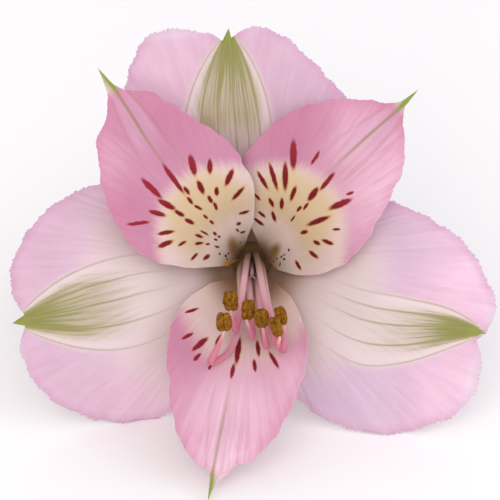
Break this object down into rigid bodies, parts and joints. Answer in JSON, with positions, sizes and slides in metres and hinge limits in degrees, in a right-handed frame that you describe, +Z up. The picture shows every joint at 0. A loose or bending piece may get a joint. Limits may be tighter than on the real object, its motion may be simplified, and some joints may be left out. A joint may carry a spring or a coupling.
{
  "type": "alstroemeria stem",
  "caption": "Cut alstroemeria flower on its stalk, lying on a surface: broad notched outer petals, streaked inner petals, hooked stamens, ribbed ovary.",
  "frame": {"origin": "on the surface that the flower lies on, under the middle of its bounding box", "axes": "+Y along the stalk from the flower to the cut end, +X to the right as seen looking into the flower, +Z up. The open face looks towards -Y, turned up by 35 degrees"},
  "size_m": [0.073, 0.1149, 0.053],
  "materials": {
    "outer_petal": "soft matte petal, pink with green veins",
    "inner_petal": "soft matte petal, pink and cream with maroon streaks",
    "filament": "moist, slightly glossy",
    "anther": "grainy, dusted with pollen",
    "style": "moist, slightly glossy",
    "ovary": "waxy, ribbed",
    "stalk": "waxy, finely ribbed"
  },
  "bodies": {
    "root": {"outer_tepal_top": "outer_petal", "outer_tepal_left": "outer_petal", "outer_tepal_right": "outer_petal", "inner_tepal_left": "inner_petal", "inner_tepal_right": "inner_petal", "inner_tepal_lower": "inner_petal", "filament_1": "filament", "filament_2": "filament", "filament_3": "filament", "filament_4": "filament", "filament_5": "filament", "filament_6": "filament", "anther_1": "anther", "anther_2": "anther", "anther_3": "anther", "anther_4": "anther", "anther_5": "anther", "anther_6": "anther", "style": "style", "ovary": "ovary", "stem": "stalk"}
  },
  "joints": []
}
